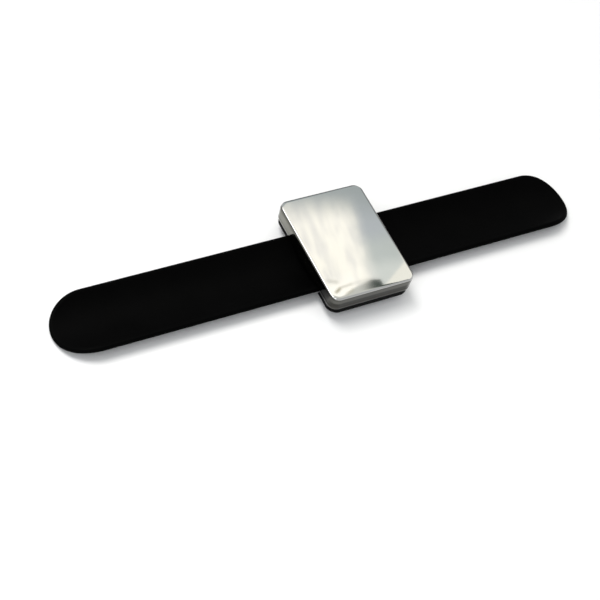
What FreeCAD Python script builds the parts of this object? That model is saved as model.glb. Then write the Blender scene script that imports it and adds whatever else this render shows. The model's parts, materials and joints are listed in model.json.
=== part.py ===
import FreeCAD, Part
import math
import os
import Sketcher

# Magnetic wrist pin holder on a snap band.
# The band lies straight along X.  Its cross-section is a shallow trough that is
# open upwards: a pre-stressed steel strip inside a silicone sleeve.  The pin
# platform sits across the band: a stamped stainless cover over two magnets, on
# a black base tray whose saddle is riveted into the trough.
# Frame: origin under the middle of the band's length, on the surface that the
# band lies on.  +X along the band towards the shorter arm, +Y across, +Z up.
# All sizes are in millimetres.

V = FreeCAD.Vector
doc = FreeCAD.newDocument("wrist_pin_holder")

# ---------------------------------------------------------------- dimensions
dims = doc.addObject("Spreadsheet::Sheet", "dims")
TABLE = [
    # band
    ("band_length", 228.5), ("band_width", 29.4), ("sleeve_thick", 2.2),
    ("trough_radius", 23.6),          # radius of the sleeve's mid-surface
    ("tip_reach", 15.6),              # length of the rounded end in plan
    ("tip_half_width", 13.98),        # half width of the rounded end in plan
    ("strip_width", 24.0), ("strip_thick", 0.2), ("strip_tip", 6.0), ("strip_corner", 3.0),
    ("cavity_width", 24.8), ("cavity_thick", 0.32), ("cavity_tip", 6.6),
    ("seg_length", 7.1), ("seg_gap", 0.2), ("left_count", 13), ("right_count", 11),
    # platform
    ("plate_x", 5.75), ("plate_length", 37.0), ("plate_width", 50.2),
    ("corner_radius", 3.8), ("edge_gap", 0.1),
    ("base_length", 35.8), ("base_width", 50.0), ("base_corner", 4.4),
    ("base_under", 3.75), ("base_thick", 2.55), ("base_edge", 0.25), ("deck_thick", 1.6),
    ("deck_clear", 0.05), ("channel_half", 14.4), ("channel_top", 6.3),
    ("saddle_half", 10.0), ("saddle_length", 30.0), ("glue_thick", 0.25),
    ("cover_height", 6.65), ("cover_wall", 0.6), ("rim_radius", 0.8),
    ("stack_length", 32.0), ("stack_width", 46.0), ("stack_corner", 3.0),
    ("keeper_thick", 1.0), ("magnet_thick", 3.0), ("magnet_split", 0.8),
    ("magnet_chamfer", 0.4),
    # rivets
    ("rivet_spacing", 18.0), ("shank_radius", 1.0), ("shank_hole", 1.15),
    ("head_radius", 2.3), ("head_thick", 0.5), ("head_under", 0.15),
    ("head_recess", 2.5), ("set_radius", 1.9), ("set_thick", 0.6),
    ("set_hole", 2.6),
]
for row, (alias, value) in enumerate(TABLE, start=1):
    dims.set("A%d" % row, alias)
    dims.set("B%d" % row, str(value))
    dims.setAlias("B%d" % row, alias)
doc.recompute()
D = dict(TABLE)

# recurring expressions
ARC_Z = "(dims.trough_radius + dims.sleeve_thick/2)"
HINGE_L = "(dims.plate_x - dims.plate_length/2 - dims.edge_gap)"
HINGE_R = "(dims.plate_x + dims.plate_length/2 + dims.edge_gap)"
COVER_Z = "(dims.base_under + dims.base_thick)"
DECK_Z = "(dims.base_under + dims.base_thick + dims.deck_thick)"
arc_z = D["trough_radius"] + D["sleeve_thick"] / 2
hinge_l = D["plate_x"] - D["plate_length"] / 2 - D["edge_gap"]
hinge_r = D["plate_x"] + D["plate_length"] / 2 + D["edge_gap"]
cover_z = D["base_under"] + D["base_thick"]
deck_z = cover_z + D["deck_thick"]

NODES = []


def node(obj, label):
    obj.Label = label
    NODES.append(obj)
    return obj


def body(name):
    return doc.addObject("PartDesign::Body", name)


def origin_plane(b, role):
    for f in b.Origin.OriginFeatures:
        if f.Role == role:
            return f
    raise ValueError(role)


def sketch(b, name, role, offset=None):
    sk = b.newObject("Sketcher::SketchObject", name)
    sk.AttachmentSupport = [(origin_plane(b, role), "")]
    sk.MapMode = "FlatFace"
    if offset is not None:
        sk.setExpression("AttachmentOffset.Base.z", offset)
    return sk


def drive(sk, constraint, expression):
    """Adds a constraint and binds its value to the sheet."""
    i = sk.addConstraint(constraint)
    sk.setExpression("Constraints[%d]" % i, expression)
    return i


def line(sk, a, b):
    return sk.addGeometry(Part.LineSegment(V(*a), V(*b)), False)


def arc(sk, centre, radius, a0, a1):
    return sk.addGeometry(Part.ArcOfCircle(
        Part.Circle(V(*centre), V(0, 0, 1), radius),
        math.radians(a0), math.radians(a1)), False)


def C(*args):
    return Sketcher.Constraint(*args)


def rounded_rect(sk, length, width, radius, ex_length, ex_width, ex_radius):
    """Rounded rectangle about the sketch origin."""
    x, y, r = length / 2, width / 2, radius
    lines = [line(sk, (-x + r, -y, 0), (x - r, -y, 0)),
             line(sk, (x, -y + r, 0), (x, y - r, 0)),
             line(sk, (x - r, y, 0), (-x + r, y, 0)),
             line(sk, (-x, y - r, 0), (-x, -y + r, 0))]
    arcs = [arc(sk, (x - r, -y + r, 0), r, 270, 360),
            arc(sk, (x - r, y - r, 0), r, 0, 90),
            arc(sk, (-x + r, y - r, 0), r, 90, 180),
            arc(sk, (-x + r, -y + r, 0), r, 180, 270)]
    for i in range(4):
        sk.addConstraint(C("Tangent", lines[i], 2, arcs[i], 1))
        sk.addConstraint(C("Tangent", arcs[i], 2, lines[(i + 1) % 4], 1))
    sk.addConstraint(C("Horizontal", lines[0]))
    sk.addConstraint(C("Horizontal", lines[2]))
    sk.addConstraint(C("Vertical", lines[1]))
    sk.addConstraint(C("Vertical", lines[3]))
    for i in range(1, 4):
        sk.addConstraint(C("Equal", arcs[0], arcs[i]))
    drive(sk, C("Radius", arcs[0], r), ex_radius)
    drive(sk, C("DistanceX", -1, 1, lines[1], 1, x), "(%s)/2" % ex_length)
    drive(sk, C("DistanceX", lines[3], 1, -1, 1, x), "(%s)/2" % ex_length)
    drive(sk, C("DistanceY", -1, 1, lines[2], 1, y), "(%s)/2" % ex_width)
    drive(sk, C("DistanceY", lines[0], 1, -1, 1, y), "(%s)/2" % ex_width)


def sleeve_section(sk):
    """Trough section with full-round edges, seen along X."""
    R, t = D["trough_radius"], D["sleeve_thick"]
    half = math.degrees((D["band_width"] / 2 - t / 2) / R)
    c = (0, arc_z, 0)
    outer = arc(sk, c, R + t / 2, 270 - half, 270 + half)
    inner = arc(sk, c, R - t / 2, 270 - half, 270 + half)

    def on(a):
        return (R * math.cos(math.radians(a)), arc_z + R * math.sin(math.radians(a)), 0)
    right = arc(sk, on(270 + half), t / 2, 270 + half, 450 + half)
    left = arc(sk, on(270 - half), t / 2, 450 - half, 630 - half)
    sk.addConstraint(C("Tangent", outer, 2, right, 1))
    sk.addConstraint(C("Tangent", right, 2, inner, 2))
    sk.addConstraint(C("Tangent", left, 1, inner, 1))
    sk.addConstraint(C("Tangent", left, 2, outer, 1))
    sk.addConstraint(C("Coincident", outer, 3, inner, 3))
    sk.addConstraint(C("PointOnObject", outer, 3, -2))
    drive(sk, C("DistanceY", -1, 1, outer, 3, arc_z), ARC_Z)
    drive(sk, C("Radius", outer, R + t / 2), "dims.trough_radius + dims.sleeve_thick/2")
    drive(sk, C("Radius", inner, R - t / 2), "dims.trough_radius - dims.sleeve_thick/2")
    ex = ("dims.trough_radius * sin((dims.band_width/2 - dims.sleeve_thick/2)"
          " / dims.trough_radius * 1 rad)")
    x = R * math.sin(math.radians(half))
    drive(sk, C("DistanceX", -1, 1, right, 3, x), ex)
    drive(sk, C("DistanceX", left, 3, -1, 1, x), ex)


def strip_section(sk, width, thick, ex_width, ex_thick):
    """Curved flat strip section with square edges, on the trough radius."""
    R = D["trough_radius"]
    half = math.degrees((width / 2) / R)
    c = (0, arc_z, 0)
    outer = arc(sk, c, R + thick / 2, 270 - half, 270 + half)
    inner = arc(sk, c, R - thick / 2, 270 - half, 270 + half)

    def on(r, a):
        return (r * math.cos(math.radians(a)), arc_z + r * math.sin(math.radians(a)), 0)
    right = line(sk, on(R + thick / 2, 270 + half), on(R - thick / 2, 270 + half))
    left = line(sk, on(R - thick / 2, 270 - half), on(R + thick / 2, 270 - half))
    sk.addConstraint(C("Coincident", outer, 2, right, 1))
    sk.addConstraint(C("Coincident", right, 2, inner, 2))
    sk.addConstraint(C("Coincident", left, 1, inner, 1))
    sk.addConstraint(C("Coincident", left, 2, outer, 1))
    sk.addConstraint(C("Coincident", outer, 3, inner, 3))
    sk.addConstraint(C("PointOnObject", outer, 3, -2))
    sk.addConstraint(C("PointOnObject", outer, 3, right))
    sk.addConstraint(C("PointOnObject", outer, 3, left))
    drive(sk, C("DistanceY", -1, 1, outer, 3, arc_z), ARC_Z)
    drive(sk, C("Radius", outer, R + thick / 2), "dims.trough_radius + (%s)/2" % ex_thick)
    drive(sk, C("Radius", inner, R - thick / 2), "dims.trough_radius - (%s)/2" % ex_thick)
    ex = ("(dims.trough_radius + (%s)/2) * sin((%s)/2 / dims.trough_radius * 1 rad)"
          % (ex_thick, ex_width))
    x = (R + thick / 2) * math.sin(math.radians(half))
    drive(sk, C("DistanceX", -1, 1, right, 1, x), ex)
    drive(sk, C("DistanceX", left, 2, -1, 1, x), ex)


def pad(b, sk, name, expression, midplane=False):
    f = b.newObject("PartDesign::Pad", name)
    f.Profile = sk
    f.setExpression("Length", expression)
    f.Midplane = midplane
    sk.Visibility = False
    return f


def pocket(b, sk, name, expression=None, midplane=False, towards_normal=False):
    """Pocket that must take material away: its volume is compared."""
    doc.recompute()
    before = b.Shape.Volume
    f = b.newObject("PartDesign::Pocket", name)
    f.Profile = sk
    if expression is None:
        f.Type = 1                       # through all
    else:
        f.setExpression("Length", expression)
    f.Midplane = midplane
    f.Reversed = towards_normal
    sk.Visibility = False
    doc.recompute()
    if not b.Shape.Volume < before - 1e-3:
        raise ValueError("%s cuts nothing" % name)
    return f


def two_holes(b, name, radius, ex_radius, role_offset=None):
    """Sketch with the two rivet positions on the body's X axis."""
    sk = sketch(b, name, "XY_Plane", role_offset)
    for side in (-1, 1):
        g = sk.addGeometry(Part.Circle(V(side * D["rivet_spacing"] / 2, 0, 0), V(0, 0, 1), radius), False)
        sk.addConstraint(C("PointOnObject", g, 3, -1))
        drive(sk, C("Radius", g, radius), ex_radius)
        if side > 0:
            drive(sk, C("DistanceX", -1, 1, g, 3, D["rivet_spacing"] / 2), "dims.rivet_spacing/2")
        else:
            drive(sk, C("DistanceX", g, 3, -1, 1, D["rivet_spacing"] / 2), "dims.rivet_spacing/2")
    return sk


# ---------------------------------------------------------------- the band
def sleeve(name, ex_x, ex_length, ex_cavity, cavity_from_far_end=False):
    """One length of silicone sleeve: trough section with the strip's cavity."""
    b = body(name)
    b.setExpression("Placement.Base.x", ex_x)
    sk = sketch(b, name + "_section", "YZ_Plane")
    sleeve_section(sk)
    pad(b, sk, name + "_pad", ex_length)
    if cavity_from_far_end:
        # the cavity runs in from the far end of the pad
        ck = sketch(b, name + "_cavity", "YZ_Plane", ex_length)
        strip_section(ck, D["cavity_width"], D["cavity_thick"], "dims.cavity_width", "dims.cavity_thick")
        pocket(b, ck, name + "_pocket", ex_cavity, towards_normal=False)
    else:
        ck = sketch(b, name + "_cavity", "YZ_Plane")
        strip_section(ck, D["cavity_width"], D["cavity_thick"], "dims.cavity_width", "dims.cavity_thick")
        pocket(b, ck, name + "_pocket", ex_cavity, towards_normal=True)
    return b


def strip(name, ex_x, ex_length):
    """One length of the spring steel strip."""
    b = body(name)
    b.setExpression("Placement.Base.x", ex_x)
    sk = sketch(b, name + "_section", "YZ_Plane")
    strip_section(sk, D["strip_width"], D["strip_thick"], "dims.strip_width", "dims.strip_thick")
    pad(b, sk, name + "_pad", ex_length)
    return b


def plan_end(name, side, ex_box_x):
    """Solid whose plan is the rounded end of the band: half an ellipse and a straight part."""
    e = doc.addObject("Part::Ellipse", name + "_ellipse")
    e.setExpression("MajorRadius", "dims.tip_reach")
    e.setExpression("MinorRadius", "dims.tip_half_width")
    e.setExpression("Placement.Base.x", "%d * (dims.band_length/2 - dims.tip_reach)" % side)
    e.Placement.Base.z = -2
    e.Visibility = False
    x = doc.addObject("Part::Extrusion", name + "_ellipse_solid")
    x.Base = e
    x.DirMode = "Custom"
    x.Dir = V(0, 0, 1)
    x.LengthFwd = 20
    x.Solid = True
    x.Visibility = False
    k = doc.addObject("Part::Box", name + "_straight")
    k.setExpression("Width", "2*dims.tip_half_width")
    k.Length = 6
    k.Height = 20
    k.setExpression("Placement.Base.x", ex_box_x)
    k.setExpression("Placement.Base.y", "-dims.tip_half_width")
    k.Placement.Base.z = -2
    k.Visibility = False
    f = doc.addObject("Part::Fuse", name + "_plan")
    f.Base = x
    f.Tool = k
    f.Visibility = False
    return f


# centre length, under the platform, with the rivet holes
EX_CENTRE_LEN = "(%s - %s - dims.seg_gap)" % (HINGE_R, HINGE_L)
sc = sleeve("sleeve_centre", "%s + dims.seg_gap/2" % HINGE_L, EX_CENTRE_LEN, EX_CENTRE_LEN)
hk = two_holes(sc, "sleeve_centre_holes", D["shank_hole"], "dims.shank_hole")
# the body starts at the hinge line, so the hole sketch is moved to the platform's centre
hk.setExpression("AttachmentOffset.Base.x", EX_CENTRE_LEN + "/2")
pocket(sc, hk, "sleeve_centre_hole_cut", None, midplane=True)
rk = two_holes(sc, "sleeve_centre_recess", D["head_recess"], "dims.head_recess")
rk.setExpression("AttachmentOffset.Base.x", EX_CENTRE_LEN + "/2")
pocket(sc, rk, "sleeve_centre_recess_cut", "dims.head_under + dims.head_thick", towards_normal=True)
node(sc, "sleeve_centre")

st = strip("strip_centre", "%s + dims.seg_gap/2" % HINGE_L, EX_CENTRE_LEN)
tk = two_holes(st, "strip_centre_holes", D["shank_hole"], "dims.shank_hole")
tk.setExpression("AttachmentOffset.Base.x", EX_CENTRE_LEN + "/2")
pocket(st, tk, "strip_centre_hole_cut", None, midplane=True)
node(st, "strip_centre")

# arms: equal hinged lengths and a rounded tip
for side, word, count, hinge, ex_hinge in (
        (-1, "left", int(D["left_count"]), hinge_l, HINGE_L),
        (1, "right", int(D["right_count"]), hinge_r, HINGE_R)):
    for i in range(1, count):
        if side < 0:
            ex_x = "%s - %d*dims.seg_length + dims.seg_gap/2" % (ex_hinge, i)
        else:
            ex_x = "%s + %d*dims.seg_length + dims.seg_gap/2" % (ex_hinge, i - 1)
        ex_len = "dims.seg_length - dims.seg_gap"
        node(sleeve("sleeve_%s_%d" % (word, i), ex_x, ex_len, ex_len), "sleeve_%s_%d" % (word, i))
        node(strip("strip_%s_%d" % (word, i), ex_x, ex_len), "strip_%s_%d" % (word, i))
    # tip length from its hinge to the end of the band
    if side < 0:
        ex_tip = "(dims.band_length/2 + %s - %d*dims.seg_length)" % (ex_hinge, count - 1)
        tip = D["band_length"] / 2 + hinge - (count - 1) * D["seg_length"]
        raw = sleeve("sleeve_left_tip_raw", "-dims.band_length/2",
                     "%s - dims.seg_gap/2" % ex_tip, "dims.cavity_tip", cavity_from_far_end=True)
        plan = plan_end("sleeve_left_tip", -1,
                        "-dims.band_length/2 + dims.tip_reach")
        ex_strip_x = "-dims.band_length/2 + %s - dims.seg_gap/2 - dims.strip_tip" % ex_tip
    else:
        ex_tip = "(dims.band_length/2 - %s - %d*dims.seg_length)" % (ex_hinge, count - 1)
        tip = D["band_length"] / 2 - hinge - (count - 1) * D["seg_length"]
        raw = sleeve("sleeve_right_tip_raw", "dims.band_length/2 - %s + dims.seg_gap/2" % ex_tip,
                     "%s - dims.seg_gap/2" % ex_tip, "dims.cavity_tip")
        plan = plan_end("sleeve_right_tip", 1,
                        "dims.band_length/2 - dims.tip_reach - 6")
        ex_strip_x = "dims.band_length/2 - %s + dims.seg_gap/2" % ex_tip
    print("tip length", word, round(tip, 3))
    raw.Visibility = False
    t = doc.addObject("Part::Common", "sleeve_%s_tip" % word)
    t.Base = raw
    t.Tool = plan
    node(t, "sleeve_%s_tip" % word)
    # the strip ends inside the tip with its corners cut off in plan
    s = strip("strip_%s_tip" % word, ex_strip_x, "dims.strip_tip")
    doc.recompute()
    end_x = s.Placement.Base.x + (0 if side < 0 else D["strip_tip"])
    corner = [n + 1 for n, e in enumerate(s.Shape.Edges)
              if e.Length < 2 * D["strip_thick"] and abs(e.CenterOfMass.x - end_x) < 0.01]
    base = s.Tip
    cut = s.newObject("PartDesign::Chamfer", "strip_%s_tip_corners" % word)
    cut.Base = (base, ["Edge%d" % n for n in corner])
    cut.setExpression("Size", "dims.strip_corner")
    node(s, "strip_%s_tip" % word)

# ------------------------------------------------------------ the platform
# base tray: rim plate, deck inside the cover, band channel and saddle
tray = body("base_tray")
tray.setExpression("Placement.Base.x", "dims.plate_x")
k = sketch(tray, "tray_rim", "XY_Plane", "dims.base_under")
rounded_rect(k, D["base_length"], D["base_width"], D["base_corner"],
             "dims.base_length", "dims.base_width", "dims.base_corner")
pad(tray, k, "tray_rim_pad", "dims.base_thick")
doc.recompute()
low = ["Edge%d" % (n + 1) for n, e in enumerate(tray.Shape.Edges)
       if all(abs(v.Point.z - D["base_under"]) < 1e-4 for v in e.Vertexes)]
base = tray.Tip
fil = tray.newObject("PartDesign::Fillet", "tray_lower_edge")
fil.Base = (base, low)
fil.setExpression("Radius", "dims.base_edge")
k = sketch(tray, "tray_deck", "XY_Plane", COVER_Z)
inset = 2 * (D["cover_wall"] + D["deck_clear"])
rounded_rect(k, D["plate_length"] - inset, D["plate_width"] - inset, D["corner_radius"] - inset / 2,
             "dims.plate_length - 2*(dims.cover_wall + dims.deck_clear)",
             "dims.plate_width - 2*(dims.cover_wall + dims.deck_clear)",
             "dims.corner_radius - dims.cover_wall - dims.deck_clear")
pad(tray, k, "tray_deck_pad", "dims.deck_thick")
# channel along X that the band passes through
k = sketch(tray, "tray_channel", "YZ_Plane")
h0, h1, w = 2.0, D["channel_top"], D["channel_half"]
l0 = line(k, (-w, h0, 0), (w, h0, 0))
l1 = line(k, (w, h0, 0), (w, h1, 0))
l2 = line(k, (w, h1, 0), (-w, h1, 0))
l3 = line(k, (-w, h1, 0), (-w, h0, 0))
for a_, b_ in ((l0, l1), (l1, l2), (l2, l3), (l3, l0)):
    k.addConstraint(C("Coincident", a_, 2, b_, 1))
k.addConstraint(C("Horizontal", l0))
k.addConstraint(C("Horizontal", l2))
k.addConstraint(C("Vertical", l1))
k.addConstraint(C("Vertical", l3))
drive(k, C("DistanceX", -1, 1, l1, 1, w), "dims.channel_half")
drive(k, C("DistanceX", l3, 1, -1, 1, w), "dims.channel_half")
drive(k, C("DistanceY", -1, 1, l2, 1, h1), "dims.channel_top")
drive(k, C("DistanceY", -1, 1, l0, 1, h0), "dims.base_under - 2")
pocket(tray, k, "tray_channel_cut", None, midplane=True)
# saddle that fills the trough
k = sketch(tray, "tray_saddle", "YZ_Plane")
Rs = D["trough_radius"] - D["sleeve_thick"] / 2 - D["glue_thick"]
half = math.degrees(math.asin(D["saddle_half"] / Rs))
zs = arc_z - Rs * math.cos(math.radians(half))
top = D["channel_top"] + 0.3
w = D["saddle_half"]
sa = arc(k, (0, arc_z, 0), Rs, 270 - half, 270 + half)
s1 = line(k, (w, zs, 0), (w, top, 0))
s2 = line(k, (w, top, 0), (-w, top, 0))
s3 = line(k, (-w, top, 0), (-w, zs, 0))
k.addConstraint(C("Coincident", sa, 2, s1, 1))
k.addConstraint(C("Coincident", s1, 2, s2, 1))
k.addConstraint(C("Coincident", s2, 2, s3, 1))
k.addConstraint(C("Coincident", s3, 2, sa, 1))
k.addConstraint(C("Vertical", s1))
k.addConstraint(C("Vertical", s3))
k.addConstraint(C("Horizontal", s2))
k.addConstraint(C("PointOnObject", sa, 3, -2))
drive(k, C("DistanceY", -1, 1, sa, 3, arc_z), ARC_Z)
drive(k, C("Radius", sa, Rs), "dims.trough_radius - dims.sleeve_thick/2 - dims.glue_thick")
drive(k, C("DistanceX", -1, 1, s1, 1, w), "dims.saddle_half")
drive(k, C("DistanceX", s3, 1, -1, 1, w), "dims.saddle_half")
drive(k, C("DistanceY", -1, 1, s2, 1, top), "dims.channel_top + 0.3")
pad(tray, k, "tray_saddle_pad", "dims.saddle_length", midplane=True)
k = two_holes(tray, "tray_holes", D["shank_hole"], "dims.shank_hole")
pocket(tray, k, "tray_hole_cut", None, midplane=True)
node(tray, "base_tray")

# curved adhesive pad between the saddle and the sleeve
glue = body("saddle_pad")
glue.setExpression("Placement.Base.x", "dims.plate_x")
k = sketch(glue, "saddle_pad_section", "YZ_Plane")
ro = D["trough_radius"] - D["sleeve_thick"] / 2
ri = ro - D["glue_thick"]
half = math.degrees(math.asin(9.6 / ro))


def on_arc(r, a):
    return (r * math.cos(math.radians(a)), arc_z + r * math.sin(math.radians(a)), 0)


g0 = arc(k, (0, arc_z, 0), ro, 270 - half, 270 + half)
g1 = arc(k, (0, arc_z, 0), ri, 270 - half, 270 + half)
g2 = line(k, on_arc(ro, 270 + half), on_arc(ri, 270 + half))
g3 = line(k, on_arc(ri, 270 - half), on_arc(ro, 270 - half))
k.addConstraint(C("Coincident", g0, 2, g2, 1))
k.addConstraint(C("Coincident", g2, 2, g1, 2))
k.addConstraint(C("Coincident", g3, 1, g1, 1))
k.addConstraint(C("Coincident", g3, 2, g0, 1))
k.addConstraint(C("Coincident", g0, 3, g1, 3))
k.addConstraint(C("PointOnObject", g0, 3, -2))
k.addConstraint(C("PointOnObject", g0, 3, g2))
k.addConstraint(C("PointOnObject", g0, 3, g3))
drive(k, C("DistanceY", -1, 1, g0, 3, arc_z), ARC_Z)
drive(k, C("Radius", g0, ro), "dims.trough_radius - dims.sleeve_thick/2")
drive(k, C("Radius", g1, ri), "dims.trough_radius - dims.sleeve_thick/2 - dims.glue_thick")
drive(k, C("DistanceX", -1, 1, g2, 1, 9.6), "dims.saddle_half - 0.4")
drive(k, C("DistanceX", g3, 2, -1, 1, 9.6), "dims.saddle_half - 0.4")
pad(glue, k, "saddle_pad_pad", "dims.saddle_length - 1", midplane=True)
k = two_holes(glue, "saddle_pad_holes", D["shank_hole"], "dims.shank_hole")
pocket(glue, k, "saddle_pad_hole_cut", None, midplane=True)
node(glue, "saddle_pad")

# stamped cover: rounded box, open below, with a rolled top edge
cover = body("metal_cover")
cover.setExpression("Placement.Base.x", "dims.plate_x")
k = sketch(cover, "cover_outline", "XY_Plane", COVER_Z)
rounded_rect(k, D["plate_length"], D["plate_width"], D["corner_radius"],
             "dims.plate_length", "dims.plate_width", "dims.corner_radius")
pad(cover, k, "cover_pad", "dims.cover_height")
doc.recompute()
top_z = cover_z + D["cover_height"]
rim = ["Edge%d" % (n + 1) for n, e in enumerate(cover.Shape.Edges)
       if all(abs(v.Point.z - top_z) < 1e-4 for v in e.Vertexes)]
base = cover.Tip
fil = cover.newObject("PartDesign::Fillet", "cover_rim")
fil.Base = (base, rim)
fil.setExpression("Radius", "dims.rim_radius")
k = sketch(cover, "cover_inside", "XY_Plane", COVER_Z)
rounded_rect(k, D["plate_length"] - 2 * D["cover_wall"], D["plate_width"] - 2 * D["cover_wall"],
             D["corner_radius"] - D["cover_wall"],
             "dims.plate_length - 2*dims.cover_wall", "dims.plate_width - 2*dims.cover_wall",
             "dims.corner_radius - dims.cover_wall")
pocket(cover, k, "cover_hollow", "dims.cover_height - dims.cover_wall", towards_normal=True)
node(cover, "metal_cover")

# steel keeper plate with clearance for the set ends of the rivets
keeper = body("keeper_plate")
keeper.setExpression("Placement.Base.x", "dims.plate_x")
k = sketch(keeper, "keeper_outline", "XY_Plane", DECK_Z)
rounded_rect(k, D["stack_length"], D["stack_width"], D["stack_corner"],
             "dims.stack_length", "dims.stack_width", "dims.stack_corner")
pad(keeper, k, "keeper_pad", "dims.keeper_thick")
k = two_holes(keeper, "keeper_holes", D["set_hole"], "dims.set_hole")
pocket(keeper, k, "keeper_hole_cut", None, midplane=True)
node(keeper, "keeper_plate")

# two ferrite blocks side by side across the platform
for side, word in ((-1, "near"), (1, "far")):
    m = body("magnet_" + word)
    m.setExpression("Placement.Base.x", "dims.plate_x")
    m.setExpression("Placement.Base.y",
                    "%d * (dims.magnet_split/2 + (dims.stack_width - dims.magnet_split)/4)" % side)
    k = sketch(m, "magnet_%s_outline" % word, "XY_Plane", DECK_Z + " + dims.keeper_thick")
    rounded_rect(k, D["stack_length"], (D["stack_width"] - D["magnet_split"]) / 2, 1.0,
                 "dims.stack_length", "(dims.stack_width - dims.magnet_split)/2", "1")
    pad(m, k, "magnet_%s_pad" % word, "dims.magnet_thick")
    doc.recompute()
    zt = deck_z + D["keeper_thick"] + D["magnet_thick"]
    rim = ["Edge%d" % (n + 1) for n, e in enumerate(m.Shape.Edges)
           if all(abs(v.Point.z - zt) < 1e-4 for v in e.Vertexes)]
    base = m.Tip
    ch = m.newObject("PartDesign::Chamfer", "magnet_%s_chamfer" % word)
    ch.Base = (base, rim)
    ch.setExpression("Size", "dims.magnet_chamfer")
    node(m, "magnet_" + word)

# foam pad that takes up the space between the magnets and the cover
foam = body("foam_pad")
foam.setExpression("Placement.Base.x", "dims.plate_x")
k = sketch(foam, "foam_outline", "XY_Plane", DECK_Z + " + dims.keeper_thick + dims.magnet_thick")
rounded_rect(k, D["stack_length"], D["stack_width"], D["stack_corner"],
             "dims.stack_length", "dims.stack_width", "dims.stack_corner")
pad(foam, k, "foam_pad_pad",
    "dims.cover_height - dims.cover_wall - dims.deck_thick - dims.keeper_thick - dims.magnet_thick")
node(foam, "foam_pad")

# two rivets through sleeve, strip, saddle and deck
pair = []
for side in (-1, 1):
    parts = []
    for what, ex_r, ex_z, ex_h in (
            ("head", "dims.head_radius", "dims.head_under", "dims.head_thick"),
            ("shank", "dims.shank_radius", "dims.head_under", DECK_Z + " - dims.head_under"),
            ("set", "dims.set_radius", DECK_Z, "dims.set_thick")):
        c = doc.addObject("Part::Cylinder", "rivet_%s_%s" % (what, "left" if side < 0 else "right"))
        c.setExpression("Radius", ex_r)
        c.setExpression("Height", ex_h)
        c.setExpression("Placement.Base.x", "dims.plate_x + %d*dims.rivet_spacing/2" % side)
        c.setExpression("Placement.Base.z", ex_z)
        c.Visibility = False
        parts.append(c)
    f = doc.addObject("Part::MultiFuse", "rivet_%s" % ("left" if side < 0 else "right"))
    f.Shapes = parts
    f.Refine = True
    f.Visibility = False
    pair.append(f)
rivets = doc.addObject("Part::Compound", "band_rivets")
rivets.Links = pair
node(rivets, "band_rivets")

# ---------------------------------------------------------------- write out
doc.recompute()
for o in doc.Objects:
    for word in ("Invalid", "Error"):
        if word in o.State:
            raise ValueError("%s is %s" % (o.Label, o.State))
for o in NODES:
    if o.Shape.isNull() or not o.Shape.isValid():
        raise ValueError("%s has a bad shape" % o.Label)
    if not o.Shape.Solids:
        raise ValueError("%s has no solid" % o.Label)
os.makedirs("parts", exist_ok=True)
for o in NODES:
    o.Shape.exportStep("parts/%s.step" % o.Label)
    bb = o.Shape.BoundBox
    print("%-18s %10.2f mm3  x %8.2f %8.2f  y %7.2f %7.2f  z %6.2f %6.2f  solids %d" % (
        o.Label, o.Shape.Volume, bb.XMin, bb.XMax, bb.YMin, bb.YMax, bb.ZMin, bb.ZMax, len(o.Shape.Solids)))
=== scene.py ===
import json
import math
import bpy
import bmesh
from mathutils import Matrix, Vector

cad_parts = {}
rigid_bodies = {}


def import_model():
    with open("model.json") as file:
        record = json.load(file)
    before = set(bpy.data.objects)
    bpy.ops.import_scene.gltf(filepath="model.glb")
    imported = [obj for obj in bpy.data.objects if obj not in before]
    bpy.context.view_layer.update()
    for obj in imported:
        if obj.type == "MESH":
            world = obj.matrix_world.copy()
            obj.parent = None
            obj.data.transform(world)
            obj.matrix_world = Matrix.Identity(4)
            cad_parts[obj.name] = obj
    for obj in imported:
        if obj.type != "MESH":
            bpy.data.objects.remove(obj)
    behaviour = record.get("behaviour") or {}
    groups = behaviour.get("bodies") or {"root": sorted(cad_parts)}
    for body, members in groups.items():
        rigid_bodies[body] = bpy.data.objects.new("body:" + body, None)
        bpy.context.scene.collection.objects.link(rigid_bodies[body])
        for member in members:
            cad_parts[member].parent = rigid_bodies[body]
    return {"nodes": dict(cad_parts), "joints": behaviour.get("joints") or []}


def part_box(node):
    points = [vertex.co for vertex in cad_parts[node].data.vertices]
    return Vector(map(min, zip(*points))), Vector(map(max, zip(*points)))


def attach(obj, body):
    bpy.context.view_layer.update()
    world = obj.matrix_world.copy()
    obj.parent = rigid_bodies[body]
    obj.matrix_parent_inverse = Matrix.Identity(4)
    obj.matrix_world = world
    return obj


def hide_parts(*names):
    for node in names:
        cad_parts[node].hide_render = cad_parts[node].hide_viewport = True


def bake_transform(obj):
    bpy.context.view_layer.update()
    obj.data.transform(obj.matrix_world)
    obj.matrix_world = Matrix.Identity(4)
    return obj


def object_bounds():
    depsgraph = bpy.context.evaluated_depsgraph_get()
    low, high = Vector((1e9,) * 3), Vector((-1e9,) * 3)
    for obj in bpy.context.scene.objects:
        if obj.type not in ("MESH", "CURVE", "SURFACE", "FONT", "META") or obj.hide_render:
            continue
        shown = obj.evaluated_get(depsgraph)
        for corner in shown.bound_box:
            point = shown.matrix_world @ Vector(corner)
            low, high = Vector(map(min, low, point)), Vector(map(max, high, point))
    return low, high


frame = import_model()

cad_lo, cad_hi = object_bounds()
MM = 0.001
scene = bpy.context.scene
nodes = frame["nodes"]

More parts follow.
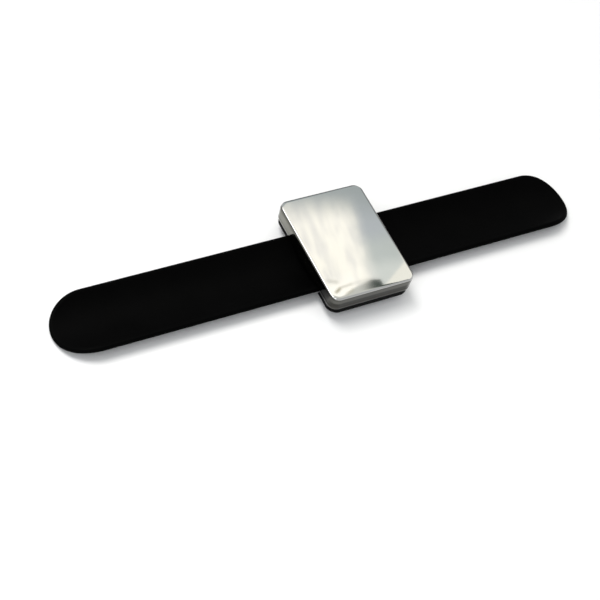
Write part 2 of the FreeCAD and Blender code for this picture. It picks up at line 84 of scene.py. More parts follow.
# ------------------------------------------------------------------ camera
AZ, EL, ROLL = math.radians(-41.373), math.radians(52.088), math.radians(19.231)
DIST, TX, TY, F_PX = 559.18, -10.552, -14.347, 1419.27
back = Vector((math.sin(AZ) * math.cos(EL), -math.cos(AZ) * math.cos(EL), math.sin(EL)))
right0 = Vector((math.cos(AZ), math.sin(AZ), 0))
up0 = back.cross(right0)
cr = right0 * math.cos(ROLL) + up0 * math.sin(ROLL)
cu = -right0 * math.sin(ROLL) + up0 * math.cos(ROLL)
cam_data = bpy.data.cameras.new("camera")
cam = bpy.data.objects.new("camera", cam_data)
scene.collection.objects.link(cam)
cam_data.sensor_width = 36
cam_data.lens = F_PX * 36 / 600
cam_data.clip_start, cam_data.clip_end = 0.01, 20
cam.matrix_world = Matrix((
    (cr.x, cu.x, back.x, 0), (cr.y, cu.y, back.y, 0), (cr.z, cu.z, back.z, 0), (0, 0, 0, 1)))
cam.location = (back * DIST + cr * TX + cu * TY) * MM
scene.camera = cam
scene.view_settings.view_transform = "Standard"
scene.view_settings.look = "None"


# --------------------------------------------------------------- materials
class Mat:
    """Small helper to wire a procedural material."""

    def __init__(self, name):
        self.m = bpy.data.materials.new(name)
        self.m.use_nodes = True
        self.t = self.m.node_tree
        self.b = self.t.nodes["Principled BSDF"]
        tc = self.t.nodes.new("ShaderNodeTexCoord")
        self.obj = tc.outputs["Object"]

    def node(self, kind, **values):
        n = self.t.nodes.new(kind)
        for k, v in values.items():
            if k in n.inputs:
                n.inputs[k].default_value = v
            else:
                setattr(n, k, v)
        return n

    def link(self, a, b):
        self.t.links.new(a, b)

    def scaled(self, scale, source=None):
        n = self.node("ShaderNodeMapping")
        n.inputs["Scale"].default_value = scale
        self.link(source or self.obj, n.inputs["Vector"])
        return n.outputs["Vector"]

    def noise(self, vec, scale, detail=3.0, rough=0.5, distortion=0.0):
        n = self.node("ShaderNodeTexNoise")
        n.inputs["Scale"].default_value = scale
        n.inputs["Detail"].default_value = detail
        n.inputs["Roughness"].default_value = rough
        n.inputs["Distortion"].default_value = distortion
        self.link(vec, n.inputs["Vector"])
        return n.outputs["Fac"]

    def ramp(self, fac, stops):
        n = self.node("ShaderNodeValToRGB")
        e = n.color_ramp.elements
        while len(e) < len(stops):
            e.new(0.5)
        for s, (p, c) in zip(e, stops):
            s.position = p
            s.color = c if len(c) == 4 else (*c, 1)
        self.link(fac, n.inputs["Fac"])
        return n.outputs["Color"]

    def to_range(self, fac, lo, hi, f0=0.0, f1=1.0):
        n = self.node("ShaderNodeMapRange")
        n.inputs["From Min"].default_value = f0
        n.inputs["From Max"].default_value = f1
        n.inputs["To Min"].default_value = lo
        n.inputs["To Max"].default_value = hi
        self.link(fac, n.inputs["Value"])
        return n.outputs["Result"]

    def math(self, op, a, b=None):
        n = self.node("ShaderNodeMath", operation=op)
        for i, v in enumerate((a, b)):
            if v is None:
                continue
            if isinstance(v, (int, float)):
                n.inputs[i].default_value = v
            else:
                self.link(v, n.inputs[i])
        return n.outputs[0]

    def bump(self, height, strength, distance, normal=None):
        n = self.node("ShaderNodeBump")
        n.inputs["Strength"].default_value = strength
        n.inputs["Distance"].default_value = distance
        self.link(height, n.inputs["Height"])
        if normal is not None:
            self.link(normal, n.inputs["Normal"])
        self.link(n.outputs["Normal"], self.b.inputs["Normal"])
        return n.outputs["Normal"]

    def put(self, name, value):
        if hasattr(value, "is_linked") or hasattr(value, "links"):
            self.link(value, self.b.inputs[name])
        else:
            self.b.inputs[name].default_value = value


def silicone_material():
    m = Mat("black_silicone")
    broad = m.noise(m.obj, 90.0, 3.0, 0.55)
    fine = m.noise(m.obj, 2600.0, 2.0, 0.6)
    m.put("Base Color", m.ramp(broad, [(0.25, (0.0007, 0.0007, 0.0007)), (0.75, (0.0012, 0.0012, 0.0012))]))
    m.put("Roughness", m.to_range(broad, 0.46, 0.58))
    m.put("Specular IOR Level", 0.016)
    m.bump(fine, 0.25, 0.00004)
    return m.m


def plastic_material():
    m = Mat("black_moulded_plastic")
    broad = m.noise(m.obj, 120.0, 2.0)
    fine = m.noise(m.obj, 3200.0, 2.0, 0.6)
    m.put("Base Color", m.ramp(broad, [(0.3, (0.0008, 0.0008, 0.0009)), (0.7, (0.0016, 0.0016, 0.0017))]))
    m.put("Roughness", m.to_range(broad, 0.36, 0.46))
    m.put("Specular IOR Level", 0.02)
    m.bump(fine, 0.2, 0.00003)
    return m.m


def steel_mirror_material():
    """Polished top and rim; the drawn side wall is a little duller. Its darker colour with light and dark bands, the
    darker far, right and left rim rolls, and the near-black near part of the end walls are painted reflection and
    shade, set by position.
    """
    m = Mat("polished_stainless")
    haze = m.noise(m.obj, 55.0, 4.0, 0.6)
    wipes = m.noise(m.scaled((1.0, 9.0, 1.0)), 260.0, 3.0, 0.6)
    sep = m.node("ShaderNodeSeparateXYZ")
    m.link(m.obj, sep.inputs[0])
    x, y, z = sep.outputs["X"], sep.outputs["Y"], sep.outputs["Z"]
    # painted reflection: the roll on the far and right-hand rims is coloured darker by position
    far = m.math("MAXIMUM", m.to_range(y, 0.0, 1.0, SIDE_Y - 0.00118, SIDE_Y - 0.00078),
                 m.to_range(x, 0.0, 1.0, END_X - 0.00118, END_X - 0.00078))
    # painted reflection: at the left-hand end the dark wall colour reaches a little higher up the rim
    left = m.to_range(x, 1.0, 0.0, LEFT_X + 0.0010, LEFT_X + 0.0014)
    edge = m.math("SUBTRACT", z, m.math("MULTIPLY", left, 0.00018))
    side = m.to_range(edge, 1.0, 0.0, WALL_TOP + 0.00010, WALL_TOP + 0.00042)
    drawn = m.to_range(m.noise(m.scaled((1.0, 1.0, 14.0)), 300.0, 3.0, 0.6), 0.86, 1.14, 0.3, 0.7)
    up = m.to_range(z, 0.0, 1.0, WALL_LOW, WALL_TOP)
    top_c = m.ramp(haze, [(0.3, (0.625, 0.62, 0.60)), (0.7, (0.66, 0.655, 0.64))])
    # painted reflection and shade on the walls: the ends are evenly grey in the middle, darker at the foot and under
    # the rim; the long sides carry light and dark bands along their height
    end_wall_painted_reflection = m.ramp(up, [(0.0, (0.09, 0.088, 0.078)), (0.15, (0.18, 0.178, 0.155)), (0.80, (0.20, 0.198, 0.17)),
                        (0.93, (0.13, 0.128, 0.105)), (1.0, (0.12, 0.12, 0.10))])
    side_wall_painted_reflection_bands = m.ramp(up, [(0.0, (0.062, 0.060, 0.053)), (0.20, (0.058, 0.056, 0.050)), (0.38, (0.035, 0.034, 0.030)),
                         (0.56, (0.036, 0.035, 0.031)), (0.66, (0.105, 0.104, 0.094)), (0.86, (0.110, 0.109, 0.10)),
                         (0.97, (0.075, 0.074, 0.067))])
    # painted reflection and shade: the near part of each end wall, past the band's edge, is made nearly black,
    # darkest at its foot
    end_wall_painted_shade = m.ramp(up, [(0.0, (0.012, 0.012, 0.010)), (0.5, (0.032, 0.031, 0.026)), (1.0, (0.06, 0.058, 0.050))])
    by_band = m.to_range(y, 1.0, 0.0, -0.0165, -0.0135)

    def blend(fac, first, second):
        n = m.node("ShaderNodeMix", data_type="RGBA")
        m.link(fac, n.inputs[0])
        m.link(first, n.inputs[6])
        m.link(second, n.inputs[7])
        return n.outputs[2]

    long_side = m.to_range(m.math("ABSOLUTE", y), 0.0, 1.0, SIDE_Y - 0.0040, SIDE_Y - 0.0010)
    wall = blend(long_side, blend(by_band, end_wall_painted_reflection, end_wall_painted_shade), side_wall_painted_reflection_bands)
    def scale(colour, by):
        n = m.node("ShaderNodeVectorMath", operation="SCALE")
        m.link(colour, n.inputs[0])
        m.link(by, n.inputs["Scale"])
        return n.outputs[0]

    # painted reflection: the left-hand rim roll is greyed; with the far roll this darkens the top colour on the rims
    near_roll = m.to_range(x, 1.0, 0.0, LEFT_X + 0.00055, LEFT_X + 0.00120)
    rim_painted_reflection = m.math("SUBTRACT", 1.0, m.math("ADD", m.math("MULTIPLY", far, 0.62), m.math("MULTIPLY", near_roll, 0.58)))
    m.put("Base Color", blend(side, scale(top_c, rim_painted_reflection), scale(wall, drawn)))
    m.put("Metallic", 1.0)
    rough = m.math("ADD", m.to_range(haze, 0.012, 0.035, 0.3, 0.7), m.math("MULTIPLY", side, 0.12))
    m.put("Roughness", rough)
    m.bump(wipes, 0.03, 0.00001)
    return m.m


def spring_steel_material():
    m = Mat("spring_steel")
    roll = m.noise(m.scaled((1.0, 60.0, 60.0)), 60.0, 3.0)
    m.put("Base Color", m.ramp(roll, [(0.3, (0.30, 0.32, 0.36)), (0.7, (0.46, 0.47, 0.49))]))
    m.put("Metallic", 1.0)
    m.put("Roughness", m.to_range(roll, 0.25, 0.4))
    return m.m


def plated_steel_material():
    m = Mat("zinc_plated_steel")
    spangle = m.noise(m.obj, 400.0, 2.0)
    m.put("Base Color", m.ramp(spangle, [(0.3, (0.52, 0.53, 0.55)), (0.7, (0.66, 0.67, 0.68))]))
    m.put("Metallic", 1.0)
    m.put("Roughness", m.to_range(spangle, 0.25, 0.38))
    return m.m


def nickel_material():
    m = Mat("nickel_plated_rivet")
    fine = m.noise(m.obj, 900.0, 3.0)
    m.put("Base Color", m.ramp(fine, [(0.3, (0.58, 0.56, 0.52)), (0.7, (0.70, 0.68, 0.64))]))
    m.put("Metallic", 1.0)
    m.put("Roughness", m.to_range(fine, 0.18, 0.30))
    return m.m


def ferrite_material():
    m = Mat("ferrite")
    grain = m.noise(m.obj, 1800.0, 4.0, 0.7)
    m.put("Base Color", m.ramp(grain, [(0.3, (0.045, 0.045, 0.05)), (0.7, (0.09, 0.09, 0.10))]))
    m.put("Roughness", m.to_range(grain, 0.55, 0.75))
    m.bump(grain, 0.3, 0.00003)
    return m.m


def foam_material():
    m = Mat("closed_cell_foam")
    v = m.node("ShaderNodeTexVoronoi")
    v.inputs["Scale"].default_value = 2600.0
    m.link(m.obj, v.inputs["Vector"])
    m.put("Base Color", m.ramp(v.outputs["Distance"], [(0.0, (0.66, 0.66, 0.63)), (0.7, (0.84, 0.84, 0.81))]))
    m.put("Roughness", 0.85)
    m.bump(v.outputs["Distance"], 0.4, 0.00008)
    return m.m


def adhesive_material():
    m = Mat("black_adhesive_pad")
    n = m.noise(m.obj, 700.0, 3.0)
    m.put("Base Color", m.ramp(n, [(0.3, (0.012, 0.012, 0.012)), (0.7, (0.022, 0.022, 0.022))]))
    m.put("Roughness", m.to_range(n, 0.5, 0.65))
    return m.m


WALL_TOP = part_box("metal_cover")[1].z - 0.0008
WALL_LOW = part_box("metal_cover")[0].z
LEFT_X, END_X, SIDE_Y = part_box("metal_cover")[0].x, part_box("metal_cover")[1].x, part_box("metal_cover")[1].y
SILICONE, PLASTIC, MIRROR = silicone_material(), plastic_material(), steel_mirror_material()
SPRING, ZINC, NICKEL = spring_steel_material(), plated_steel_material(), nickel_material()
FERRITE, FOAM, ADHESIVE = ferrite_material(), foam_material(), adhesive_material()


def dress(name, material):
    o = nodes[name]
    o.data.materials.clear()
    o.data.materials.append(material)


def make_object(name, bm, material, smooth=True):
    me = bpy.data.meshes.new(name)
    bm.to_mesh(me)
    bm.free()
    o = bpy.data.objects.new(name, me)
    scene.collection.objects.link(o)
    me.materials.append(material)
    return o


# -------------------------------------------------------------- band pieces
T, R, WB = 2.2, 23.6, 29.4            # sleeve thickness, trough radius, flat width
ZC = R + T / 2
HALF_L = cad_hi.x / MM
TIP = 15.6                            # length of the rounded end
RR = T / 2                            # radius of the rounded rim
W0 = WB / 2 - RR                      # half width without the rim


def on_trough(x, s, h):
    """x along the band, s along the curved section, h above the mid-surface; in metres."""
    return Vector((x, (R - h) * math.sin(s / R), ZC - (R - h) * math.cos(s / R))) * MM


def ring(x, w, rim, side, n_flat, n_rim, nx=0.0, ns=1.0, low=None, high=None):
    """Closed loop round the section: underside, +Y rim, top, -Y rim."""
    lo = -rim if low is None else low
    hi = rim if high is None else high
    pts = []
    for i in range(n_flat + 1):
        pts.append((x, w * (2 * i / n_flat - 1), lo))
    for i in range(1, n_rim):
        a = -math.pi / 2 + math.pi * i / n_rim
        if low is None:
            pts.append((x + side * rim * math.cos(a) * nx, w + rim * math.cos(a) * ns, rim * math.sin(a)))
        else:
            pts.append((x, w, lo + (hi - lo) * i / n_rim))
    for i in range(n_flat + 1):
        pts.append((x, w * (1 - 2 * i / n_flat), hi))
    for i in range(1, n_rim):
        a = math.pi / 2 - math.pi * i / n_rim
        if low is None:
            pts.append((x + side * rim * math.cos(a) * nx, -w - rim * math.cos(a) * ns, rim * math.sin(a)))
        else:
            pts.append((x, -w, hi - (hi - lo) * i / n_rim))
    return [on_trough(*p) for p in pts]


def skin(bm, rings):
    rows = [[bm.verts.new(p) for p in r] for r in rings]
    n = len(rows[0])
    for a, b in zip(rows, rows[1:]):
        for k in range(n):
            bm.faces.new((a[k], a[(k + 1) % n], b[(k + 1) % n], b[k]))
    return rows


def cap_between(bm, a, b, caps):
    n = len(a)
    for k in range(n):
        caps.append(bm.faces.new((a[k], b[k], b[(k + 1) % n], a[(k + 1) % n])))


def finish_mesh(bm, sharp_angle=40):
    bmesh.ops.remove_doubles(bm, verts=bm.verts, dist=1e-7)
    bmesh.ops.dissolve_degenerate(bm, edges=bm.edges, dist=1e-8)
    bmesh.ops.recalc_face_normals(bm, faces=bm.faces)
    for f in bm.faces:
        f.smooth = True
    lim = math.radians(sharp_angle)
    for e in bm.edges:
        if len(e.link_faces) == 2 and e.calc_face_angle(0) > lim:
            e.smooth = False


def stations(x0, x1, step):
    n = max(1, int(math.ceil(abs(x1 - x0) / step)))
    return [x0 + (x1 - x0) * i / n for i in range(n + 1)]


NF, NR = 44, 10
CAV_W, CAV_T = 12.4, 0.16
STRIP_W, STRIP_T = 12.0, 0.1


def sleeve_piece(name, x0, x1, side=1, tip=False, cavity_end=None):
    """Length of sleeve from x0 to x1 (millimetres), or from x0 to the rounded end of the band."""
    bm = bmesh.new()
    if not tip:
        xs = stations(x0, x1, 0.6)
        rows = skin(bm, [ring(x, W0, RR, side, NF, NR) for x in xs])
        inner = skin(bm, [ring(x, CAV_W, 0, side, NF, NR, low=-CAV_T, high=CAV_T) for x in xs])
        caps = []
        cap_between(bm, rows[0], inner[0], caps)
        cap_between(bm, rows[-1], inner[-1], caps)
    else:
        xc = side * (HALF_L - TIP)
        rings = [ring(x, W0, RR, side, NF, NR) for x in stations(x0, xc, 0.6)[:-1]]
        n = 40
        a, b = TIP - RR, W0
        for i in range(n + 1):
            th = math.pi / 2 * i / n
            nx, ns = b * math.sin(th), a * math.cos(th)
            k = math.hypot(nx, ns)
            rings.append(ring(xc + side * a * math.sin(th), max(b * math.cos(th), 0.0) if i < n else 0.0,
                              RR, side, NF, NR, nx / k, ns / k))
        rows = skin(bm, rings)
        inner = skin(bm, [ring(x, CAV_W, 0, side, NF, NR, low=-CAV_T, high=CAV_T)
                          for x in stations(x0, cavity_end, 0.6)])
        caps = []
        cap_between(bm, rows[0], inner[0], caps)
        # the cavity's blind end: a ladder between its underside and its top
        r = inner[-1]
        m = NF + 1
        top = r[m + NR - 1: m + NR - 1 + m][::-1]
        bot = r[:m]
        rim_r = r[m: m + NR - 1]
        rim_l = r[m + NR - 1 + m:]
        for k in range(NF):
            caps.append(bm.faces.new((bot[k], bot[k + 1], top[k + 1], top[k])))
        caps.append(bm.faces.new([bot[-1]] + rim_r + [top[-1]]))
        caps.append(bm.faces.new([top[0]] + rim_l + [bot[0]]))
    finish_mesh(bm)
    o = make_object(name, bm, SILICONE)
    return o


def strip_piece(name, x0, x1, side=1, tip=False):
    bm = bmesh.new()
    if not tip:
        rings = [ring(x, STRIP_W, 0, side, NF, 2, low=-STRIP_T, high=STRIP_T) for x in stations(x0, x1, 0.6)]
    else:
        rings = [ring(x, STRIP_W, 0, side, NF, 2, low=-STRIP_T, high=STRIP_T)
                 for x in stations(x0, x1 - side * 3.0, 0.6)]
        rings += [ring(x1 - side * 3.0 + side * 3.0 * math.sin(q), STRIP_W - 3.0 * (1 - math.cos(q)), 0, side,
                       NF, 2, low=-STRIP_T, high=STRIP_T)
                  for q in [math.pi / 2 * i / 8 for i in range(1, 9)]]
    rows = skin(bm, rings)
    for r in (rows[0], rows[-1]):
        m = NF + 1
        top = r[m + 1: m + 1 + m][::-1]
        bot = r[:m]
        for k in range(NF):
            bm.faces.new((bot[k], bot[k + 1], top[k + 1], top[k]))
        bm.faces.new([bot[-1], r[m], top[-1]])
        bm.faces.new([top[0], r[-1], bot[0]])
    finish_mesh(bm)
    return make_object(name, bm, SPRING)


def arm(word):
    js = [j for j in frame["joints"] if j["name"].startswith(word)]
    js.sort(key=lambda j: abs(j["pos_m"][0]))
    return js


arms = {w: arm(w) for w in ("left", "right")}
START = 2.0                           # the arms' skins start this far under the platform
ends = {}
for word, js in arms.items():
    side = -1 if word == "left" else 1
    hx = [j["pos_m"][0] / MM for j in js]
    seg = abs(hx[1] - hx[0])
    ends[word] = hx[0] - side * START
    for i, j in enumerate(js):
        child, parent, x = j["child"], j["parent"], hx[i]
        last = i == len(js) - 1
        a = hx[0] - side * START if i == 0 else x - side * seg / 2
        b = x + side * seg / 2
        s = sleeve_piece("skin_" + child, a, b, side, last, cavity_end=x + side * 6.7)
        t = strip_piece("spring_" + child, a, x + side * 6.1 if last else b, side, last)
        for piece, cad, sl in ((s, "sleeve_" + child, "silicone"), (t, "strip_" + child, "spring_steel")):
            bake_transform(piece)
            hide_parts(cad)


def boolean_cut(o, cutters):
    for c in cutters:
        mod = o.modifiers.new("cut", "BOOLEAN")
        mod.operation = "DIFFERENCE"
        mod.solver = "EXACT"
        mod.object = c
    bpy.context.view_layer.update()
    dg = bpy.context.evaluated_depsgraph_get()
    me = bpy.data.meshes.new_from_object(o.evaluated_get(dg))
    o.modifiers.clear()
    old = o.data
    o.data = me
    bpy.data.meshes.remove(old)
    for c in cutters:
        bpy.data.objects.remove(c)


def cylinder_at(x, y, z0, z1, r, n=48):
    bm = bmesh.new()
    bmesh.ops.create_cone(bm, cap_ends=True, segments=n, radius1=r * MM, radius2=r * MM, depth=(z1 - z0) * MM,
                          matrix=Matrix.Translation(Vector((x, y, (z0 + z1) / 2)) * MM))
    return make_object("cutter", bm, SILICONE)


plo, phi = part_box("metal_cover")
PX = (plo.x + phi.x) / 2 / MM
rivet_x = [PX - 9.0, PX + 9.0]
centre = sleeve_piece("skin_centre", ends["left"], ends["right"])
boolean_cut(centre, [cylinder_at(x, 0, -1, 3.5, 1.15) for x in rivet_x] +
            [cylinder_at(x, 0, -1, 0.65, 2.5) for x in rivet_x])
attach(centre, "root"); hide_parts("sleeve_centre")
spring = strip_piece("spring_centre", ends["left"], ends["right"])
boolean_cut(spring, [cylinder_at(x, 0, -1, 3.5, 1.15) for x in rivet_x])
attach(spring, "root"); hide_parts("strip_centre")

# ------------------------------------------------------------ metal cover
CX, CY = (phi.x - plo.x) / 2 / MM, (phi.y - plo.y) / 2 / MM
Z2, Z3 = plo.z / MM, phi.z / MM
CR, RIM, WALL, LIP = 3.8, 0.8, 0.6, 0.10
DRAFT_X, DRAFT_Y = 0.32, 0.12


def plan_loop(inset, n_corner=20, n_x=36, n_y=50):
    """Rounded rectangle, walked anticlockwise, with the same number of points at every inset."""
    r = max(CR - inset, 0.02)
    x, y = CX - inset - r, CY - inset - r
    pts = []
    for cx, cy, a0, n, dx, dy in ((x, -y, -90, n_y, 0, 1), (x, y, 0, n_x, -1, 0),
                                  (-x, y, 90, n_y, 0, -1), (-x, -y, 180, n_x, 1, 0)):
        for i in range(n_corner + 1):
            a = math.radians(a0 + 90 * i / n_corner)
            pts.append((cx + r * math.cos(a), cy + r * math.sin(a)))
        length = 2 * (y if dx == 0 else x)
        for i in range(1, n):
            f = i / n
            px, py = cx + (r if dx == 0 else 0) * (1 if cx > 0 else -1), cy
            if dx == 0:
                pts.append((cx + r * math.cos(math.radians(a0 + 90)), cy + dy * length * f))
            else:
                pts.append((cx + dx * length * f, cy + r * math.sin(math.radians(a0 + 90))))
    return pts


def top_height(x, y):
    """Height of the polished top over the plan, in millimetres below the rim's highest line."""
    return 0.0


def cover_piece():
    bm = bmesh.new()
    rings = []
    # outside: from the lower edge up the wall, round the rim and onto the top
    prof = [(0.10, Z2), (0.03, Z2 + 0.03), (0.0, Z2 + 0.10), (0.0, Z2 + 0.9)]
    prof += [(LIP * (0.5 - 0.5 * math.cos(math.pi * i / 8)), Z2 + 0.9 + 0.9 * i / 8) for i in range(1, 9)]
    prof += [(LIP, z) for z in (Z2 + 2.6, Z2 + 3.4, Z2 + 4.2, Z2 + 5.0)]
    r = RIM + 0.1
    prof += [(LIP + (r - LIP) * (1 - math.cos(math.pi / 2 * i / 12)), Z3 - r + r * math.sin(math.pi / 2 * i / 12))
             for i in range(13)]
    for d, z in prof:
        # the wall is drafted: it draws in a little towards its lower edge
        t = min(max((Z2 + 5.0 - z) / 5.0, 0.0), 1.0) ** 1.5
        kx, ky = 1 - DRAFT_X * t / CX, 1 - DRAFT_Y * t / CY
        rings.append([Vector((PX + x * kx, y * ky, z)) * MM for x, y in plan_loop(d)])
    edge = plan_loop(RIM + 0.1)
    n_in = 44
    for i in range(1, n_in):
        f = 1 - i / n_in
        rings.append([Vector((PX + x * f, y * f, Z3 - top_height(x * f, y * f))) * MM for x, y in edge])
    rows = skin(bm, rings)
    c = bm.verts.new(Vector((PX, 0, Z3 - top_height(0, 0))) * MM)
    n = len(rows[-1])
    for k in range(n):
        bm.faces.new((rows[-1][k], rows[-1][(k + 1) % n], c))
    # inside: up the wall to the underside of the top
    inner = [[Vector((PX + x, y, z)) * MM for x, y in plan_loop(d)]
             for d, z in ((WALL + 0.10, Z2), (WALL + 0.22, Z2 + 0.12), (WALL, Z3 - WALL - 0.4), (WALL + 0.12, Z3 - WALL - 0.12),
                          (WALL + 0.4, Z3 - WALL))]
    irows = skin(bm, inner)
    c2 = bm.verts.new(Vector((PX, 0, Z3 - WALL)) * MM)
    for k in range(n):
        bm.faces.new((irows[-1][(k + 1) % n], irows[-1][k], c2))
        bm.faces.new((rows[0][(k + 1) % n], rows[0][k], irows[0][k], irows[0][(k + 1) % n]))
    finish_mesh(bm, 50)
    return make_object("cover_shell", bm, MIRROR)


cover = cover_piece()
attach(cover, "root"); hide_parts("metal_cover")

# ------------------------------------------------- carried-over CAD pieces
for name, material in (("base_tray", PLASTIC), ("saddle_pad", ADHESIVE), ("keeper_plate", ZINC),
                       ("magnet_near", FERRITE), ("magnet_far", FERRITE), ("foam_pad", FOAM),
                       ("band_rivets", NICKEL)):
    dress(name, material)

# ------------------------------------------------------- floor and lighting
bm = bmesh.new()
bmesh.ops.create_grid(bm, x_segments=8, y_segments=8, size=2.5)
floor_mat = Mat("pale_floor")
fn = floor_mat.noise(floor_mat.obj, 6.0, 2.0)
floor_mat.put("Base Color", floor_mat.ramp(fn, [(0.3, (0.90, 0.90, 0.90)), (0.7, (0.92, 0.92, 0.92))]))
floor_mat.put("Roughness", 0.7)
floor_mat.put("Specular IOR Level", 0.1)
# the floor has an upper face only, so that the object's underside can be looked at from below
geo = floor_mat.node("ShaderNodeNewGeometry")
clear = floor_mat.node("ShaderNodeBsdfTransparent")
both = floor_mat.node("ShaderNodeMixShader")
floor_mat.link(geo.outputs["Backfacing"], both.inputs[0])
floor_mat.link(floor_mat.b.outputs[0], both.inputs[1])
floor_mat.link(clear.outputs[0], both.inputs[2])
floor_mat.link(both.outputs[0], floor_mat.t.nodes["Material Output"].inputs["Surface"])
floor = make_object("floor", bm, floor_mat.m)
floor.location.z = -0.00005


def area(name, pos, target, size, power, color=(1, 1, 1), size_y=None):
    d = bpy.data.lights.new(name, "AREA")
    d.energy = power
    d.color = color
    d.shape = "RECTANGLE"
    d.size = size
    d.size_y = size_y or size
    o = bpy.data.objects.new(name, d)
    scene.collection.objects.link(o)
    o.location = pos
    o.rotation_mode = "QUATERNION"
    o.rotation_quaternion = (Vector(target) - Vector(pos)).to_track_quat("-Z", "Y")
    return o


area("key", (-0.25, 0.55, 1.35), (0, 0, 0), 0.8, 17.0, (1.0, 0.99, 0.97))
area("fill", (-0.9, -0.5, 0.9), (0, 0, 0), 1.0, 4.0, (0.97, 0.985, 1.0))

# A reflector card hangs where the flat top mirrors it to the camera: warm and
# bright on one side, cool grey on the other, as a soft studio card is lit.
CARD_Z = 0.80
cam_image = Vector((cam.location.x, cam.location.y, 2 * phi.z - cam.location.z))


def on_card(x, y):
    """Point of the card that the camera sees in the cover's top at (x, y) from its middle, in millimetres."""
    p = Vector((PX + x, y, Z3)) * MM
    return cam_image + (p - cam_image) * ((CARD_Z - cam_image.z) / (p.z - cam_image.z))


card_mid = on_card(0, 0)
card_scale = (on_card(10, 0) - card_mid).length / 10   # metres of card for a millimetre of cover
bm = bmesh.new()
bmesh.ops.create_grid(bm, x_segments=4, y_segments=4, size=0.5)
card_mat = Mat("reflector_card")
cm = card_mat
sep = cm.node("ShaderNodeSeparateXYZ")
cm.link(cm.scaled((1 / card_scale,) * 3), sep.inputs[0])
U, Vv = sep.outputs["X"], sep.outputs["Y"]            # millimetres on the cover


def smooth_mask(value, lo, hi):
    n = cm.node("ShaderNodeMapRange")
    n.interpolation_type = "SMOOTHSTEP"
    n.inputs["From Min"].default_value = lo
    n.inputs["From Max"].default_value = hi
    cm.link(value, n.inputs["Value"])
    return n.outputs["Result"]


def slope(a, b, c):
    """a*U + b*V + c"""
    return cm.math("ADD", cm.math("ADD", cm.math("MULTIPLY", U, a), cm.math("MULTIPLY", Vv, b)), c)


def mix_colour(fac, a, b):
    n = cm.node("ShaderNodeMix", data_type="RGBA")
    cm.link(fac, n.inputs[0])
    for i, v in ((6, a), (7, b)):
        if isinstance(v, tuple):
            n.inputs[i].default_value = (*v, 1)
        else:
            cm.link(v, n.inputs[i])
    return n.outputs[2]


def turned(deg, a, b, c):
    """Coordinates along and across a direction on the card, stretched for noise."""
    q = math.radians(deg)
    n = cm.node("ShaderNodeCombineXYZ")
    cm.link(cm.math("MULTIPLY", slope(math.cos(q), math.sin(q), 0.0), a), n.inputs[0])
    cm.link(cm.math("MULTIPLY", slope(-math.sin(q), math.cos(q), 0.0), b), n.inputs[1])
    n.inputs[2].default_value = c
    return n.outputs[0]


def band_mask(value, lo, lo_soft, hi, hi_soft):
    """1 between lo and hi, with soft flanks."""
    up = smooth_mask(value, lo - lo_soft, lo + lo_soft)
    down = smooth_mask(value, hi - hi_soft, hi + hi_soft)
    return cm.math("MULTIPLY", up, cm.math("SUBTRACT", 1.0, down))


def stroke(x0, y0, x1, y1, half, soft):
    """Soft stroke between two points of the pattern."""
    dx, dy = x1 - x0, y1 - y0
    n = math.hypot(dx, dy)
    dx, dy = dx / n, dy / n
    along = slope(dx, dy, -(dx * x0 + dy * y0))
    across = slope(-dy, dx, dy * x0 - dx * y0)
    return cm.math("MULTIPLY", band_mask(along, 0.0, soft * 1.5, n, soft * 1.5), band_mask(across, -half, soft, half, soft))


streaks = cm.noise(turned(78, 0.045, 0.22, 3.1), 1.0, 2.5, 0.5, 0.4)
cloud = cm.noise(turned(20, 0.07, 0.09, 8.4), 1.0, 2.0, 0.5, 0.3)
wobble = cm.math("MULTIPLY", cm.math("SUBTRACT", cloud, 0.5), 9.0)
cool = smooth_mask(cm.math("ADD", slope(1.0, -0.25, 0.0), cm.math("MULTIPLY", wobble, 0.5)), 1.2, 10.8)
far_side = smooth_mask(slope(0.30, 1.0, 0.0), 7.0, 27.0)
warm = mix_colour(smooth_mask(streaks, 0.33, 0.62), (1.30, 1.28, 1.22), (1.60, 1.56, 1.42))
near_left = cm.math("MULTIPLY", smooth_mask(slope(0.12, -1.0, 0.0), 12.0, 18.0), smooth_mask(slope(-1.0, 0.0, 0.0), 2.0, 9.0))
c0 = mix_colour(near_left, warm, (1.66, 1.62, 1.50))
grey = mix_colour(smooth_mask(slope(0.0, 1.0, 0.0), -8.0, 3.0), (0.76, 0.82, 0.80), (0.68, 0.73, 0.77))
grey_low = mix_colour(smooth_mask(slope(-0.12, -1.0, 0.0), 9.0, 17.0), grey, (0.96, 1.01, 0.97))
c1 = mix_colour(cool, c0, grey_low)
c2 = mix_colour(far_side, c1, (0.52, 0.575, 0.585))
# dark creases towards the near left corner
crease1 = stroke(-16.9, -15.3, -12.6, -17.4, 0.8, 0.8)
blob = stroke(-15.9, -21.5, -13.0, -20.0, 0.55, 0.5)
crease2 = stroke(-12.9, -19.9, -7.8, -19.6, 0.45, 0.6)
arch = stroke(-7.9, -19.6, 0.2, -19.6, 0.5, 0.9)
crease3 = stroke(-12.3, -23.4, -8.4, -22.1, 0.35, 0.45)
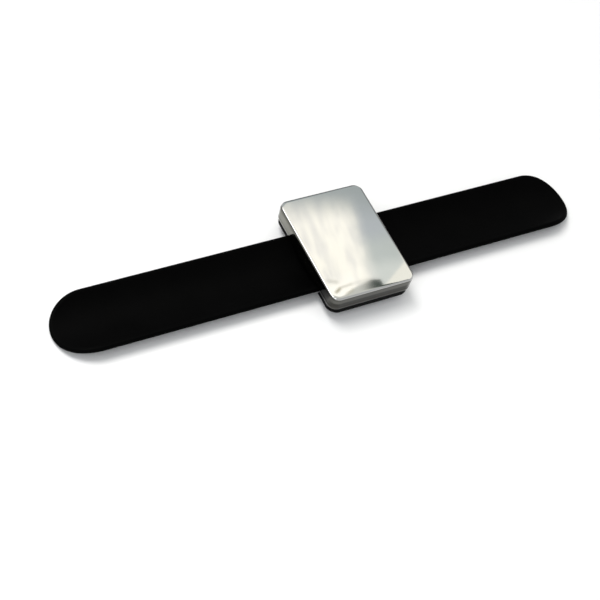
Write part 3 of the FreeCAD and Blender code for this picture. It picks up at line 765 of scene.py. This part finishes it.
# the dark patch: grey to the left, nearly black where it meets the bright corner
low_grey = cm.math("MULTIPLY", cm.math("SUBTRACT", 1.0, smooth_mask(slope(-0.15, 1.0, 0.0), -20.9, -19.5)),
                   cm.math("SUBTRACT", 1.0, smooth_mask(slope(0.39, 1.0, 0.0), -20.3, -19.0)))
low_grey = cm.math("MULTIPLY", low_grey, cm.math("SUBTRACT", 1.0, smooth_mask(slope(-0.417, 1.0, 0.0), -18.9, -17.6)))
low_grey = cm.math("MULTIPLY", low_grey, cm.math("SUBTRACT", 1.0, smooth_mask(slope(1.0, 0.0, 0.0), 3.6, 4.4)))
dark_end = cm.math("MULTIPLY", low_grey, smooth_mask(slope(1.0, -0.10, 0.0), -4.5, 4.2))
c3 = mix_colour(cm.math("MULTIPLY", crease1, 0.50), c2, (0.55, 0.55, 0.47))
c4 = mix_colour(cm.math("MULTIPLY", arch, 0.50), c3, (0.78, 0.78, 0.72))
c4 = mix_colour(cm.math("MULTIPLY", crease2, 0.60), c4, (0.66, 0.65, 0.54))
c5 = mix_colour(cm.math("MULTIPLY", blob, 0.90), c4, (0.42, 0.38, 0.22))
c6 = mix_colour(cm.math("MULTIPLY", low_grey, 0.80), c5, (0.62, 0.64, 0.60))
c7 = mix_colour(dark_end, c6, (0.085, 0.105, 0.092))
c7 = mix_colour(cm.math("MULTIPLY", crease3, 0.65), c7, (0.56, 0.52, 0.34))
# beyond the card's sharp lower right edge the bright wall shows
corner = cm.math("MULTIPLY", smooth_mask(slope(0.516, -0.857, 0.0), 22.6, 23.2), smooth_mask(slope(1.0, 0.0, 0.0), 3.4, 4.2))
c8 = mix_colour(corner, c7, (1.27, 1.26, 1.15))
em = cm.node("ShaderNodeEmission")
cm.link(c8, em.inputs["Color"])
em.inputs["Strength"].default_value = 1.0
cm.link(em.outputs[0], cm.t.nodes["Material Output"].inputs["Surface"])
card = make_object("reflector", bm, card_mat.m)
card.location = card_mid
card.visible_camera = False           # it lights the top and shows only as a reflection

w = bpy.data.worlds.new("studio")
scene.world = w
w.use_nodes = True
bg = w.node_tree.nodes["Background"]
bg.inputs["Color"].default_value = (0.96, 0.98, 1.0, 1)
bg.inputs["Strength"].default_value = 0.6
